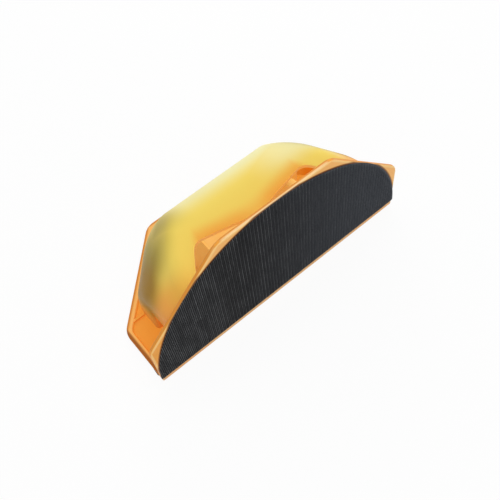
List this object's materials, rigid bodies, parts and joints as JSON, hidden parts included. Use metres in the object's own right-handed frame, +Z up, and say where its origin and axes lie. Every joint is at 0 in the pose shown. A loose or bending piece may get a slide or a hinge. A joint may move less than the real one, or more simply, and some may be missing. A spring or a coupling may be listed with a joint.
{
  "type": "corner sanding block",
  "caption": "Two-faced hand sanding block for inside corners: half-octagon plates at 90 degrees, half-disc hook pads and a hollow palm handle.",
  "frame": {"origin": "under the middle of the whole block, on the surface that its sole pad rests on", "axes": "+X along the apex edge where the plates meet, +Y from the front pad to the back, +Z up from the sole pad"},
  "size_m": [0.2198, 0.1124, 0.1124],
  "materials": {
    "frame_plastic": "satin moulded orange",
    "handle_plastic": "smooth moulded yellow",
    "hook_sheet": "moulded hooks in fine rows",
    "adhesive_film": "thin dark film",
    "screw_steel": "zinc plated"
  },
  "bodies": {
    "root": {"corner_frame": "frame_plastic", "handle_shell": "handle_plastic", "front_hook_pad": "hook_sheet", "sole_hook_pad": "hook_sheet", "front_pad_adhesive": "adhesive_film", "sole_pad_adhesive": "adhesive_film", "front_plate_screws": "screw_steel", "sole_plate_screws": "screw_steel"}
  },
  "joints": []
}
